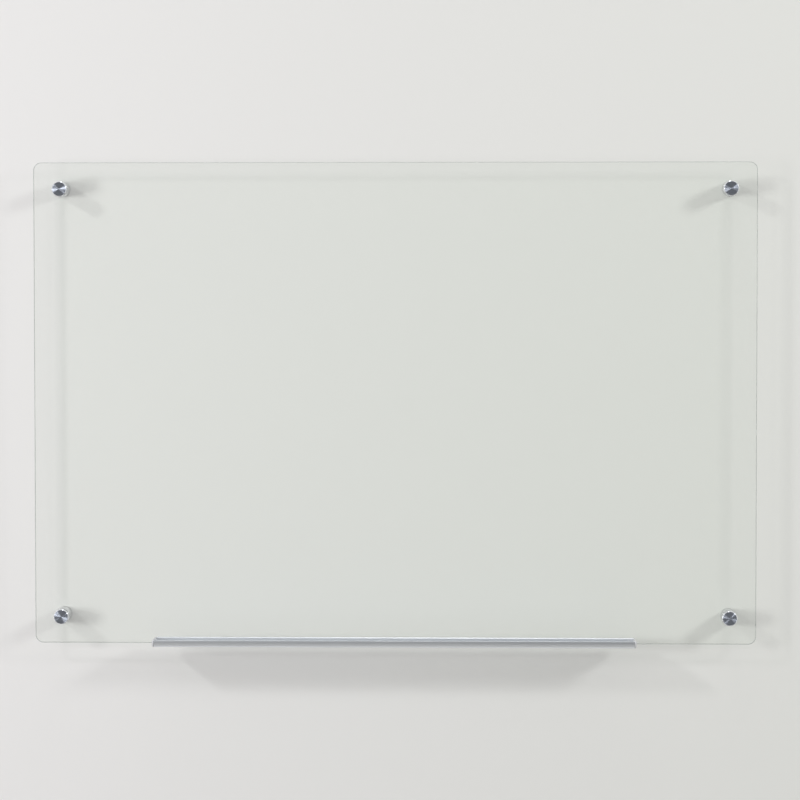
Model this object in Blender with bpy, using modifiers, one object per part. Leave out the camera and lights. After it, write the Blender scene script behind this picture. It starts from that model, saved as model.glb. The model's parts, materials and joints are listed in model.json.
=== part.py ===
"""Clear glass writing board on four wall standoffs, with a pen tray on its bottom edge.

Metres, +Z up. The wall is the plane Y = 0. The board hangs in front of it, on the -Y side, and its
wall fixings reach into the +Y side. The origin lies on the wall, behind the middle of the glass.

Each standoff is modelled along its own axis, from the wall (0) towards the room, and then placed by
an empty that turns that axis to -Y. The pen tray is modelled as a cross-section whose first
coordinate is the distance in front of the glass and whose second is the height above the glass's
bottom edge, carried along X.
"""

import math

import bmesh
import bpy
from mathutils import Matrix, Vector

# Fits that every piece shares
SEAT_GAP = 0.0003
CUT_OVERRUN = 0.002
MERGE_DISTANCE = 0.00001

# Glass panel
GLASS_WIDTH = 0.900
GLASS_HEIGHT = 0.600
GLASS_THICKNESS = 0.005
GLASS_CORNER_RADIUS = 0.010
GLASS_ARRIS = 0.0006
STANDOFF_INSET = 0.033

# Standoff barrel, a turned cup with a tapped bore and a drilled base
BARREL_DIAMETER = 0.019
BARREL_LENGTH = 0.025
BARREL_BASE = 0.005
BARREL_EDGE = 0.0005
BORE_MOUTH_CHAMFER = 0.0006
SEAT_RELIEF_DEPTH = 0.0005
SEAT_RELIEF_CLEARANCE = 0.0009

# Cap and its stud
CAP_THICKNESS = 0.005
CAP_RIM_CHAMFER = 0.0007
CAP_BACK_EDGE = 0.0003
STUD_DIAMETER = 0.010
STUD_IN_BARREL = 0.010
STUD_IN_CAP = 0.0035
STUD_END_CHAMFER = 0.001
SOCKET_ACROSS_FLATS = 0.005
SOCKET_DEPTH = 0.004

# Clear soft pieces that keep the metal off the glass
WASHER_DIAMETER = 0.018
WASHER_THICKNESS = 0.001
BUSH_WALL = 0.0012

# Wall screw
SCREW_LENGTH = 0.038
SCREW_THREAD_DIAMETER = 0.0042
SCREW_CORE_DIAMETER = 0.0031
SCREW_POINT = 0.004
SCREW_HEAD_DIAMETER = 0.008
SCREW_HEAD_HEIGHT = 0.0031
SCREW_HEAD_FLANK = 0.0009
SCREW_HOLE_CLEARANCE = 0.0004
RECESS_SPAN = 0.0044
RECESS_WIDTH = 0.0011
RECESS_DEPTH = 0.0018

# Wall plug
PLUG_LENGTH = 0.030
PLUG_DIAMETER = 0.006
PLUG_COLLAR_DIAMETER = 0.0072
PLUG_COLLAR = 0.0008
PLUG_PLAIN_LENGTH = 0.009
PLUG_BARB_PITCH = 0.004
PLUG_BARB_DEPTH = 0.0004
PLUG_BARBS = 4
PLUG_SLIT_WIDTH = 0.0008
PLUG_SLIT_LENGTH = 0.019

# Pen tray, one extruded section with a wall of one thickness
TRAY_LENGTH = 0.600
TRAY_DEPTH = 0.040
TRAY_WALL = 0.0018
TRAY_LIP_HEIGHT = 0.008
TRAY_UNDERSIDE = 0.0012
TRAY_NOSE_RADIUS = 0.0072
TRAY_FLOOR_FILLET = 0.0015
TRAY_STEP_FILLET = 0.0007
TRAY_HEEL_RADIUS = 0.0013
FRONT_FLANGE_HEIGHT = 0.008
REAR_FLANGE_HEIGHT = 0.007
CHANNEL_CORNER = 0.0003
FULL_ROUND_SHARE = 0.49
FLANGE_BEVEL = 0.0012
FLANGE_BEVEL_CORNER = 0.0002

# Liner in the tray's channel
LINER_WALL = 0.0008
LINER_STEP_BACK = 0.001
LINER_CORNER = 0.0002

# Moulded end caps, a plate over the end of the trough and a skirt that grips inside it
END_PLATE = 0.0022
END_PLATE_CORNER = 0.002
END_PLATE_ROUND = 0.0014
SKIRT_LENGTH = 0.008
SKIRT_WALL = 0.0012
SKIRT_STEP_DOWN = 0.001
SKIRT_REAR_HEIGHT = 0.0035
SKIRT_TIP = 0.0003

# Facets
BARREL_SIDES = 36
WASHER_SIDES = 28
STUD_SIDES = 24
SCREW_SIDES = 16
DOME_STEPS = 3
RIM_STEPS = 3
CHORD_ERROR = 0.00003
FLAT_EDGE_ANGLE = math.radians(60)
SMOOTH_ANGLE = math.radians(30)
COPLANAR_ANGLE = math.radians(1)

# Places on a standoff's axis, measured from the wall towards the room
REAR_WASHER_BACK = BARREL_LENGTH + SEAT_GAP
GLASS_BACK = REAR_WASHER_BACK + WASHER_THICKNESS + SEAT_GAP
GLASS_FRONT = GLASS_BACK + GLASS_THICKNESS
FRONT_WASHER_BACK = GLASS_FRONT + SEAT_GAP
CAP_BACK = FRONT_WASHER_BACK + WASHER_THICKNESS + SEAT_GAP
SCREW_SEAT = BARREL_BASE + SEAT_GAP
STUD_BACK = BARREL_LENGTH - STUD_IN_BARREL
STUD_LENGTH = CAP_BACK + STUD_IN_CAP - STUD_BACK

# Radii that follow from the pieces that pass through one another
STUD_RADIUS = STUD_DIAMETER / 2
STUD_HOLE_RADIUS = STUD_RADIUS + SEAT_GAP
BUSH_RADIUS = STUD_HOLE_RADIUS + BUSH_WALL
GLASS_HOLE_RADIUS = BUSH_RADIUS + SEAT_GAP
SCREW_HOLE_RADIUS = SCREW_THREAD_DIAMETER / 2 + SCREW_HOLE_CLEARANCE
SEAT_RELIEF_RADIUS = PLUG_COLLAR_DIAMETER / 2 + SEAT_RELIEF_CLEARANCE
SCREW_CORE_RADIUS = SCREW_CORE_DIAMETER / 2
PLUG_BORE_RADIUS = SCREW_CORE_RADIUS + SEAT_GAP

# Distances in front of the glass's front face, for the tray's section
LINER_FRONT = SEAT_GAP + LINER_WALL
LINER_REAR = -(GLASS_THICKNESS + LINER_FRONT)
CHANNEL_FRONT = LINER_FRONT + SEAT_GAP
CHANNEL_REAR = LINER_REAR - SEAT_GAP
CHANNEL_FLOOR = -(LINER_FRONT + SEAT_GAP)
FLANGE_FACE = CHANNEL_FRONT + TRAY_WALL
TRAY_FLOOR = TRAY_WALL - TRAY_UNDERSIDE
LIP_BACK = TRAY_DEPTH - TRAY_WALL
NOSE_INNER_RADIUS = TRAY_NOSE_RADIUS - TRAY_WALL
ROUND_TOP = TRAY_WALL * FULL_ROUND_SHARE

CORNERS = {
    "top_left": (-1, 1),
    "top_right": (1, 1),
    "bottom_left": (-1, -1),
    "bottom_right": (1, -1),
}


def clear_scene():
    for obj in list(bpy.data.objects):
        bpy.data.objects.remove(obj, do_unlink=True)


def make_collection(name):
    collection = bpy.data.collections.new(name)
    bpy.context.scene.collection.children.link(collection)
    return collection


def make_material(name, color, roughness, metallic=0.0, alpha=1.0, transmission=0.0, ior=1.5):
    material = bpy.data.materials.new(name)
    material.use_nodes = True
    shader = material.node_tree.nodes["Principled BSDF"]
    shader.inputs["Base Color"].default_value = (*color, 1.0)
    shader.inputs["Roughness"].default_value = roughness
    shader.inputs["Metallic"].default_value = metallic
    shader.inputs["Alpha"].default_value = alpha
    shader.inputs["Transmission Weight"].default_value = transmission
    shader.inputs["IOR"].default_value = ior
    return material


def clear_glass():
    return make_material("clear_glass", (0.90, 0.96, 0.93), 0.02, alpha=0.35, transmission=1.0, ior=1.52)


def polished_steel():
    return make_material("polished_steel", (0.72, 0.73, 0.75), 0.16, metallic=1.0)


def spun_steel():
    return make_material("spun_steel", (0.64, 0.65, 0.68), 0.28, metallic=1.0)


def plated_thread():
    return make_material("plated_thread", (0.68, 0.68, 0.67), 0.32, metallic=1.0)


def clear_vinyl():
    return make_material("clear_vinyl", (0.86, 0.88, 0.87), 0.22, alpha=0.6, transmission=0.7, ior=1.53)


def clear_nylon():
    return make_material("clear_nylon", (0.90, 0.90, 0.86), 0.35, alpha=0.7, transmission=0.5, ior=1.53)


def zinc_plating():
    return make_material("zinc_plating", (0.66, 0.67, 0.66), 0.35, metallic=1.0)


def grey_nylon():
    return make_material("grey_nylon", (0.46, 0.47, 0.48), 0.55)


def satin_aluminium():
    return make_material("satin_aluminium", (0.72, 0.74, 0.76), 0.34, metallic=1.0)


def grey_vinyl():
    return make_material("grey_vinyl", (0.60, 0.61, 0.62), 0.5)


def grey_moulding():
    return make_material("grey_moulding", (0.62, 0.63, 0.64), 0.42)


def add_object(name, data, collection, parent=None, location=(0, 0, 0), rotation=(0, 0, 0)):
    obj = bpy.data.objects.new(name, data)
    collection.objects.link(obj)
    obj.parent = parent
    obj.location = location
    obj.rotation_euler = rotation
    return obj


def settle(obj):
    """Return a welded mesh of what obj's curve or modifiers make, and remove obj."""
    bpy.context.view_layer.update()
    evaluated = obj.evaluated_get(bpy.context.evaluated_depsgraph_get())
    mesh = bpy.data.meshes.new_from_object(evaluated)
    shape = bmesh.new()
    shape.from_mesh(mesh)
    bmesh.ops.remove_doubles(shape, verts=shape.verts, dist=MERGE_DISTANCE)
    bmesh.ops.recalc_face_normals(shape, faces=shape.faces)
    if shape.calc_volume(signed=True) < 0:
        bmesh.ops.reverse_faces(shape, faces=shape.faces)
    shape.to_mesh(mesh)
    shape.free()
    mesh.name = obj.name
    bpy.data.objects.remove(obj, do_unlink=True)
    return mesh


def shade_round(mesh):
    mesh.shade_smooth()
    mesh.set_sharp_from_angle(angle=SMOOTH_ANGLE)
    return mesh


def turned(name, profile, sides, closed):
    """Mesh of a profile of (radius, height) points spun about Z.

    The profile runs down the outer side. It is closed for a ring, and starts and ends on the axis
    for a solid.
    """
    mesh = bpy.data.meshes.new(name)
    points = [(radius, 0, height) for radius, height in profile]
    edges = [(index, index + 1) for index in range(len(points) - 1)]
    if closed:
        edges.append((len(points) - 1, 0))
    mesh.from_pydata(points, edges, [])
    obj = add_object(name, mesh, bpy.context.scene.collection)
    spin = obj.modifiers.new("spin", "SCREW")
    spin.axis = "Z"
    spin.steps = sides
    spin.render_steps = sides
    spin.use_merge_vertices = True
    spin.merge_threshold = MERGE_DISTANCE
    return shade_round(settle(obj))


def fillet(before, here, after, radius):
    """Points of the arc that rounds the corner here, with chords that stay close to it."""
    back = (before - here).normalized()
    ahead = (after - here).normalized()
    half = back.angle(ahead) / 2
    centre = here + (back + ahead).normalized() * (radius / math.sin(half))
    start = here + back * (radius / math.tan(half)) - centre
    turn = start.angle_signed(here + ahead * (radius / math.tan(half)) - centre)
    steps = math.ceil(abs(turn) / (2 * math.acos(1 - CHORD_ERROR / radius)))
    return [centre + Matrix.Rotation(-turn * index / steps, 2) @ start for index in range(steps + 1)]


def rounded_outline(corners):
    """Points of a closed outline through corners (x, y, radius), each rounded by its radius."""
    places = [Vector((x, y)) for x, y, _ in corners]
    points = []
    for index, (_, _, radius) in enumerate(corners):
        after = places[(index + 1) % len(places)]
        points += fillet(places[index - 1], places[index], after, radius)
    return points


def circle(x, y, radius, sides):
    turns = [math.tau * index / sides for index in range(sides)]
    return [Vector((x + radius * math.cos(turn), y + radius * math.sin(turn))) for turn in turns]


def plate(name, outlines, thickness):
    """Mesh of a flat shape, its outer outline first and its holes after, centred on its thickness."""
    curve = bpy.data.curves.new(name, "CURVE")
    curve.dimensions = "2D"
    curve.fill_mode = "BOTH"
    curve.extrude = thickness / 2
    for outline in outlines:
        spline = curve.splines.new("POLY")
        spline.points.add(len(outline) - 1)
        for point, place in zip(spline.points, outline):
            point.co = (place.x, place.y, 0, 1)
        spline.use_cyclic_u = True
    return settle(add_object(name, curve, bpy.context.scene.collection))


def cutter(name, mesh, collection, parent, location):
    obj = add_object(name, mesh, collection, parent, location)
    obj.display_type = "WIRE"
    obj.hide_render = True
    return obj


def combine(obj, tool, operation):
    boolean = obj.modifiers.new(tool.name, "BOOLEAN")
    boolean.operation = operation
    boolean.solver = "EXACT"
    boolean.object = tool


def soften_edges(obj, width):
    bevel = obj.modifiers.new("arris", "BEVEL")
    bevel.width = width
    bevel.segments = 1
    bevel.limit_method = "ANGLE"
    bevel.angle_limit = FLAT_EDGE_ANGLE


def weight_rim(mesh, direction):
    """Give the rim of a plate's face that looks along +Z or -Z the weight that its bevel reads."""
    shape = bmesh.new()
    shape.from_mesh(mesh)
    bmesh.ops.dissolve_limit(shape, angle_limit=COPLANAR_ANGLE, verts=[], edges=shape.edges)
    weight = shape.edges.layers.float.new("bevel_weight_edge")
    for edge in shape.edges:
        if all(vertex.co.z * direction > 0 for vertex in edge.verts):
            edge[weight] = 1
    shape.to_mesh(mesh)
    shape.free()


def round_rim(obj, width):
    bevel = obj.modifiers.new("rim", "BEVEL")
    bevel.width = width
    bevel.segments = RIM_STEPS
    bevel.limit_method = "WEIGHT"
    bevel.use_clamp_overlap = False


def block(name, size):
    mesh = bpy.data.meshes.new(name)
    shape = bmesh.new()
    bmesh.ops.create_cube(shape, size=1, matrix=Matrix.Diagonal((*size, 1)))
    shape.to_mesh(mesh)
    shape.free()
    return mesh


def hexagon_bar(name, across_flats, length):
    mesh = bpy.data.meshes.new(name)
    shape = bmesh.new()
    radius = across_flats / 2 / math.cos(math.pi / 6)
    bmesh.ops.create_cone(shape, cap_ends=True, segments=6, radius1=radius, radius2=radius, depth=length)
    shape.to_mesh(mesh)
    shape.free()
    return mesh


def barrel_mesh():
    """Cup whose seat on the wall is relieved round the screw hole, where a plug may stand proud."""
    radius = BARREL_DIAMETER / 2
    profile = [
        (radius - BARREL_EDGE, BARREL_LENGTH),
        (radius, BARREL_LENGTH - BARREL_EDGE),
        (radius, BARREL_EDGE),
        (radius - BARREL_EDGE, 0),
        (SEAT_RELIEF_RADIUS, 0),
        (SEAT_RELIEF_RADIUS, SEAT_RELIEF_DEPTH),
        (SCREW_HOLE_RADIUS, SEAT_RELIEF_DEPTH),
        (SCREW_HOLE_RADIUS, BARREL_BASE),
        (STUD_HOLE_RADIUS, BARREL_BASE),
        (STUD_HOLE_RADIUS, BARREL_LENGTH - BORE_MOUTH_CHAMFER),
        (STUD_HOLE_RADIUS + BORE_MOUTH_CHAMFER, BARREL_LENGTH),
    ]
    return turned("barrel", profile, BARREL_SIDES, closed=True)


def cap_mesh():
    radius = BARREL_DIAMETER / 2
    blind_hole = STUD_IN_CAP + SEAT_GAP
    profile = [
        (0, CAP_THICKNESS),
        (radius - CAP_RIM_CHAMFER, CAP_THICKNESS),
        (radius, CAP_THICKNESS - CAP_RIM_CHAMFER),
        (radius, CAP_BACK_EDGE),
        (radius - CAP_BACK_EDGE, 0),
        (STUD_HOLE_RADIUS, 0),
        (STUD_HOLE_RADIUS, blind_hole),
        (0, blind_hole),
    ]
    return turned("cap", profile, BARREL_SIDES, closed=False)


def stud_mesh():
    neck = STUD_RADIUS - STUD_END_CHAMFER
    profile = [
        (0, STUD_LENGTH),
        (neck, STUD_LENGTH),
        (STUD_RADIUS, STUD_LENGTH - STUD_END_CHAMFER),
        (STUD_RADIUS, STUD_END_CHAMFER),
        (neck, 0),
        (0, 0),
    ]
    return turned("stud", profile, STUD_SIDES, closed=False)


def ring_mesh(name, outer_radius, inner_radius, height, sides):
    profile = [
        (outer_radius, height),
        (outer_radius, 0),
        (inner_radius, 0),
        (inner_radius, height),
    ]
    return turned(name, profile, sides, closed=True)


def washer_mesh():
    return ring_mesh("washer", WASHER_DIAMETER / 2, STUD_HOLE_RADIUS, WASHER_THICKNESS, WASHER_SIDES)


def bush_mesh():
    return ring_mesh("bush", BUSH_RADIUS, STUD_HOLE_RADIUS, GLASS_THICKNESS, STUD_SIDES)


def screw_mesh():
    """Pan head above height 0, plain neck through the barrel's base, then the core and its point."""
    head = SCREW_HEAD_DIAMETER / 2
    crown = SCREW_HEAD_HEIGHT - SCREW_HEAD_FLANK
    quarter = [math.pi / 2 * step / DOME_STEPS for step in range(DOME_STEPS + 1)]
    profile = [(head * math.sin(turn), SCREW_HEAD_FLANK + crown * math.cos(turn)) for turn in quarter]
    profile += [
        (head, 0),
        (SCREW_THREAD_DIAMETER / 2, 0),
        (SCREW_THREAD_DIAMETER / 2, -BARREL_BASE + SEAT_GAP),
        (SCREW_CORE_RADIUS, -BARREL_BASE),
        (SCREW_CORE_RADIUS, SCREW_POINT - SCREW_LENGTH),
        (0, -SCREW_LENGTH),
    ]
    return turned("wall_screw", profile, SCREW_SIDES, closed=False)


def plug_mesh():
    """Collar at the mouth, plain neck, then barbs that lean towards the tip, round a through bore."""
    collar = PLUG_COLLAR_DIAMETER / 2
    body = PLUG_DIAMETER / 2
    profile = [(collar, 0), (collar, -PLUG_COLLAR), (body, -PLUG_COLLAR)]
    for barb in range(PLUG_BARBS):
        shoulder = -PLUG_PLAIN_LENGTH - barb * PLUG_BARB_PITCH
        profile += [(body, shoulder), (body - PLUG_BARB_DEPTH, shoulder - PLUG_BARB_PITCH)]
    profile += [
        (body - PLUG_BARB_DEPTH, -PLUG_LENGTH),
        (PLUG_BORE_RADIUS, -PLUG_LENGTH),
        (PLUG_BORE_RADIUS, 0),
    ]
    return turned("wall_plug", profile, SCREW_SIDES, closed=True)


def add_standoff(corner, side, level, meshes, materials, parts, cutters):
    """One standoff: the fixed barrel and wall fixings, and the cap with its stud and washer."""
    place = (side * (GLASS_WIDTH / 2 - STANDOFF_INSET), 0, level * (GLASS_HEIGHT / 2 - STANDOFF_INSET))
    axis = add_object(f"standoff_{corner}", None, parts, None, place, (math.pi / 2, 0, 0))

    def piece(kind, mesh, distance, parent=axis):
        obj = add_object(f"{kind}_{corner}", meshes[mesh].copy(), parts, parent, (0, 0, distance))
        obj.data.materials.clear()
        obj.data.materials.append(materials[mesh])
        return obj

    piece("barrel", "barrel", 0)
    piece("rear_washer", "washer", REAR_WASHER_BACK)
    piece("bush", "bush", GLASS_BACK)
    piece("front_washer", "washer", FRONT_WASHER_BACK)
    cap = piece("cap", "cap", CAP_BACK)
    stud = piece("stud", "stud", STUD_BACK - CAP_BACK, parent=cap)
    screw = piece("wall_screw", "screw", SCREW_SEAT)
    plug = piece("wall_plug", "plug", -SEAT_GAP)

    socket = hexagon_bar("socket", SOCKET_ACROSS_FLATS, SOCKET_DEPTH * 2)
    combine(stud, cutter(f"socket_{corner}", socket, cutters, stud, (0, 0, 0)), "DIFFERENCE")
    for arm in ((RECESS_SPAN, RECESS_WIDTH), (RECESS_WIDTH, RECESS_SPAN)):
        recess = block("recess", (*arm, RECESS_DEPTH * 2))
        top = (0, 0, SCREW_HEAD_HEIGHT)
        combine(screw, cutter(f"recess_{corner}", recess, cutters, screw, top), "DIFFERENCE")
    across = PLUG_COLLAR_DIAMETER + CUT_OVERRUN
    for arm in ((across, PLUG_SLIT_WIDTH), (PLUG_SLIT_WIDTH, across)):
        slit = block("slit", (*arm, PLUG_SLIT_LENGTH * 2))
        tip = (0, 0, -PLUG_LENGTH)
        combine(plug, cutter(f"slit_{corner}", slit, cutters, plug, tip), "DIFFERENCE")


def add_standoffs(parts, cutters):
    meshes = {
        "barrel": barrel_mesh(),
        "cap": cap_mesh(),
        "stud": stud_mesh(),
        "washer": washer_mesh(),
        "bush": bush_mesh(),
        "screw": screw_mesh(),
        "plug": plug_mesh(),
    }
    materials = {
        "barrel": polished_steel(),
        "cap": spun_steel(),
        "stud": plated_thread(),
        "washer": clear_vinyl(),
        "bush": clear_nylon(),
        "screw": zinc_plating(),
        "plug": grey_nylon(),
    }
    for corner, (side, level) in CORNERS.items():
        add_standoff(corner, side, level, meshes, materials, parts, cutters)


def add_glass(parts):
    """Rounded rectangle with a drilled hole at each standoff and a ground arris on every edge."""
    half_width = GLASS_WIDTH / 2
    half_height = GLASS_HEIGHT / 2
    corners = [(-half_width, -half_height), (half_width, -half_height)]
    corners += [(half_width, half_height), (-half_width, half_height)]
    outlines = [rounded_outline([(x, y, GLASS_CORNER_RADIUS) for x, y in corners])]
    hole_x = half_width - STANDOFF_INSET
    hole_y = half_height - STANDOFF_INSET
    for side, level in CORNERS.values():
        outlines.append(circle(side * hole_x, level * hole_y, GLASS_HOLE_RADIUS, WASHER_SIDES))
    mesh = plate("glass_panel", outlines, GLASS_THICKNESS)
    middle = (0, -(GLASS_BACK + GLASS_THICKNESS / 2), 0)
    glass = add_object("glass_panel", mesh, parts, None, middle, (math.pi / 2, 0, 0))
    glass.data.materials.append(clear_glass())
    soften_edges(glass, GLASS_ARRIS)


def tray_section():
    """Channel with a bevelled front flange, floor, rounded nose and lip, in order round the section."""
    heel_back = CHANNEL_REAR - TRAY_WALL
    heel = CHANNEL_FLOOR - TRAY_WALL
    return rounded_outline([
        (heel_back, heel, TRAY_HEEL_RADIUS),
        (FLANGE_FACE, heel, TRAY_STEP_FILLET),
        (FLANGE_FACE, -TRAY_UNDERSIDE, TRAY_STEP_FILLET),
        (TRAY_DEPTH, -TRAY_UNDERSIDE, TRAY_NOSE_RADIUS),
        (TRAY_DEPTH, TRAY_LIP_HEIGHT, ROUND_TOP),
        (LIP_BACK, TRAY_LIP_HEIGHT, ROUND_TOP),
        (LIP_BACK, TRAY_FLOOR, NOSE_INNER_RADIUS),
        (FLANGE_FACE, TRAY_FLOOR, TRAY_FLOOR_FILLET),
        (FLANGE_FACE, FRONT_FLANGE_HEIGHT - FLANGE_BEVEL, FLANGE_BEVEL_CORNER),
        (FLANGE_FACE - FLANGE_BEVEL, FRONT_FLANGE_HEIGHT, FLANGE_BEVEL_CORNER),
        (CHANNEL_FRONT, FRONT_FLANGE_HEIGHT, FLANGE_BEVEL_CORNER),
        (CHANNEL_FRONT, CHANNEL_FLOOR, CHANNEL_CORNER),
        (CHANNEL_REAR, CHANNEL_FLOOR, CHANNEL_CORNER),
        (CHANNEL_REAR, REAR_FLANGE_HEIGHT, ROUND_TOP),
        (heel_back, REAR_FLANGE_HEIGHT, ROUND_TOP),
    ])


def liner_section():
    front_top = FRONT_FLANGE_HEIGHT - LINER_STEP_BACK
    rear_top = REAR_FLANGE_HEIGHT - LINER_STEP_BACK
    glass_back = -GLASS_THICKNESS - SEAT_GAP
    return rounded_outline([
        (LINER_REAR, -LINER_FRONT, CHANNEL_CORNER),
        (LINER_FRONT, -LINER_FRONT, CHANNEL_CORNER),
        (LINER_FRONT, front_top, LINER_CORNER),
        (SEAT_GAP, front_top, LINER_CORNER),
        (SEAT_GAP, -SEAT_GAP, LINER_CORNER),
        (glass_back, -SEAT_GAP, LINER_CORNER),
        (glass_back, rear_top, LINER_CORNER),
        (LINER_REAR, rear_top, LINER_CORNER),
    ])


def end_plate_section():
    """The trough's end from its flange to its nose. The channel beside it stays open for the glass."""
    return rounded_outline([
        (CHANNEL_FRONT, -TRAY_UNDERSIDE, END_PLATE_CORNER),
        (TRAY_DEPTH, -TRAY_UNDERSIDE, TRAY_NOSE_RADIUS),
        (TRAY_DEPTH, TRAY_LIP_HEIGHT, END_PLATE_CORNER),
        (CHANNEL_FRONT, FRONT_FLANGE_HEIGHT, END_PLATE_CORNER),
    ])


def skirt_section():
    """Strip that follows the trough's flange, floor and lip, a seat gap off them."""
    rear = FLANGE_FACE + SEAT_GAP
    front = LIP_BACK - SEAT_GAP
    floor = TRAY_FLOOR + SEAT_GAP
    front_top = TRAY_LIP_HEIGHT - SKIRT_STEP_DOWN
    nose = NOSE_INNER_RADIUS - SEAT_GAP
    return rounded_outline([
        (rear, floor, TRAY_FLOOR_FILLET - SEAT_GAP),
        (front, floor, nose),
        (front, front_top, SKIRT_TIP),
        (front - SKIRT_WALL, front_top, SKIRT_TIP),
        (front - SKIRT_WALL, floor + SKIRT_WALL, nose - SKIRT_WALL),
        (rear + SKIRT_WALL, floor + SKIRT_WALL, SKIRT_TIP),
        (rear + SKIRT_WALL, SKIRT_REAR_HEIGHT, SKIRT_TIP),
        (rear, SKIRT_REAR_HEIGHT, SKIRT_TIP),
    ])


def add_end_cap(name, side, slide, parts, cutters, material):
    """Plate with a rounded outer rim, joined to the skirt that reaches into the trough."""
    middle = side * (TRAY_LENGTH - END_PLATE) / 2
    cap = add_object(name, plate(name, [end_plate_section()], END_PLATE), parts, slide, (0, 0, -middle))
    cap.data.materials.append(material)
    weight_rim(cap.data, -side)
    round_rim(cap, END_PLATE_ROUND)
    reach = SKIRT_LENGTH + END_PLATE / 2
    skirt = plate(f"{name}_skirt", [skirt_section()], reach)
    combine(cap, cutter(f"{name}_skirt", skirt, cutters, cap, (0, 0, side * reach / 2)), "UNION")
    shade_round(cap.data)


def add_tray(parts, cutters):
    place = (0, -GLASS_FRONT, -GLASS_HEIGHT / 2)
    slide = add_object("tray_slide", None, parts, None, place, (math.pi / 2, 0, -math.pi / 2))
    extrusion_length = TRAY_LENGTH - 2 * (END_PLATE + SEAT_GAP)
    tray = add_object("pen_tray", plate("pen_tray", [tray_section()], extrusion_length), parts, slide)
    tray.data.materials.append(satin_aluminium())
    shade_round(tray.data)
    liner_mesh = plate("channel_liner", [liner_section()], extrusion_length)
    liner = add_object("channel_liner", liner_mesh, parts, slide)
    liner.data.materials.append(grey_vinyl())
    shade_round(liner.data)
    moulding = grey_moulding()
    add_end_cap("tray_end_left", -1, slide, parts, cutters, moulding)
    add_end_cap("tray_end_right", 1, slide, parts, cutters, moulding)


def main():
    clear_scene()
    parts = make_collection("glass_whiteboard")
    cutters = make_collection("cutters")
    add_glass(parts)
    add_standoffs(parts, cutters)
    add_tray(parts, cutters)
    bpy.context.view_layer.update()


main()
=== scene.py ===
"""Finishes of the glass writing board: glass, standoffs, wall fixings and pen tray, in a plain studio.

Metres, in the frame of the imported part: the wall is the plane Y = 0, the room is on its -Y side, and
+Z is up. Each new piece stands where the node that it replaces stands. A standoff's pieces are worked
out round the Y axis, with "out" as the distance from the wall towards the room, and then moved to
their corner. The tray's pieces are cross-sections of (distance in front of the glass, height above
the glass's bottom edge), carried along X.
"""

import json

import bmesh
import bpy
import numpy as np
from bpy.props import FloatProperty, FloatVectorProperty, PointerProperty
from bpy.types import Operator, Panel, PropertyGroup
from mathutils import Matrix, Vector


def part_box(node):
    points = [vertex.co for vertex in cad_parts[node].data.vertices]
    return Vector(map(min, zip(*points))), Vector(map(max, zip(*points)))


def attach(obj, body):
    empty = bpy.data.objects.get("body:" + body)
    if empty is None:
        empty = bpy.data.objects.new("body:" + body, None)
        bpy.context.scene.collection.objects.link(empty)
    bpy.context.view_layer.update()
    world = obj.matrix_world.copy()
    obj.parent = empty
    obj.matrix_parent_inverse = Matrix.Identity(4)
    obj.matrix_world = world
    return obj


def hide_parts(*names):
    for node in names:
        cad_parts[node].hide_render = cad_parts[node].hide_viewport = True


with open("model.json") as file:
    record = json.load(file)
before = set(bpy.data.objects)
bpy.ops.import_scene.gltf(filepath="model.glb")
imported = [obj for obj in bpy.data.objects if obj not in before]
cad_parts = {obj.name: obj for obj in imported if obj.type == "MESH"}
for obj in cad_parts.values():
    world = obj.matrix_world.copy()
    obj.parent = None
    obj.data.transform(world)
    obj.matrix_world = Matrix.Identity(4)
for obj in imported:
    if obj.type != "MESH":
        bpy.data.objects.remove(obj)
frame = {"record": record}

bl_info = {
    "name": "Glass writing board",
    "version": (1, 0, 0),
    "blender": (4, 5, 0),
    "location": "3D View > Sidebar > Board",
    "description": "Builds the finished surfaces of a glass writing board and its studio",
    "category": "Add Mesh",
}

TAU = 2 * np.pi
NOT_LIT = "not_lit_by_lamps"
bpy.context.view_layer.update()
CORNERS = ("top_left", "top_right", "bottom_left", "bottom_right")
BODY_OF = {
    node: body for body, nodes in frame["record"]["behaviour"]["bodies"].items() for node in nodes
}

# Mesh density and tolerances
WELD = 1e-6
SHARP = np.radians(30)
ARC_STEPS = 8
SMALL_ARC_STEPS = 4
TURNED_SIDES = 96
THREAD_SIDES = 72
THREAD_ROWS_PER_TURN = 12
THREAD_CREST_SHARE = 0.12
SEAT_GAP = 0.0003

# Standoff details
BARREL_BASE = 0.005
BARREL_EDGE = 0.0005
BORE_MOUTH_CHAMFER = 0.0006
SEAT_RELIEF_RADIUS = 0.0045
SEAT_RELIEF_DEPTH = 0.0005
SCREW_HOLE_RADIUS = 0.0025
STUD_PITCH = 0.0015
STUD_THREAD_DEPTH = 0.0009
BORE_THREAD_DEPTH = 0.00015
STUD_END_CHAMFER = 0.001
STUD_IN_CAP = 0.0035
SOCKET_ACROSS_FLATS = 0.005
SOCKET_DEPTH = 0.004
CAP_RIM_CHAMFER = 0.0010
CAP_BACK_EDGE = 0.0003
CAP_CENTRE_MARK = 0.00045
CAP_CENTRE_DEPTH = 0.00012
WASHER_EDGE = 0.0002
SMALL_EDGE = 0.0001

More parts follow.
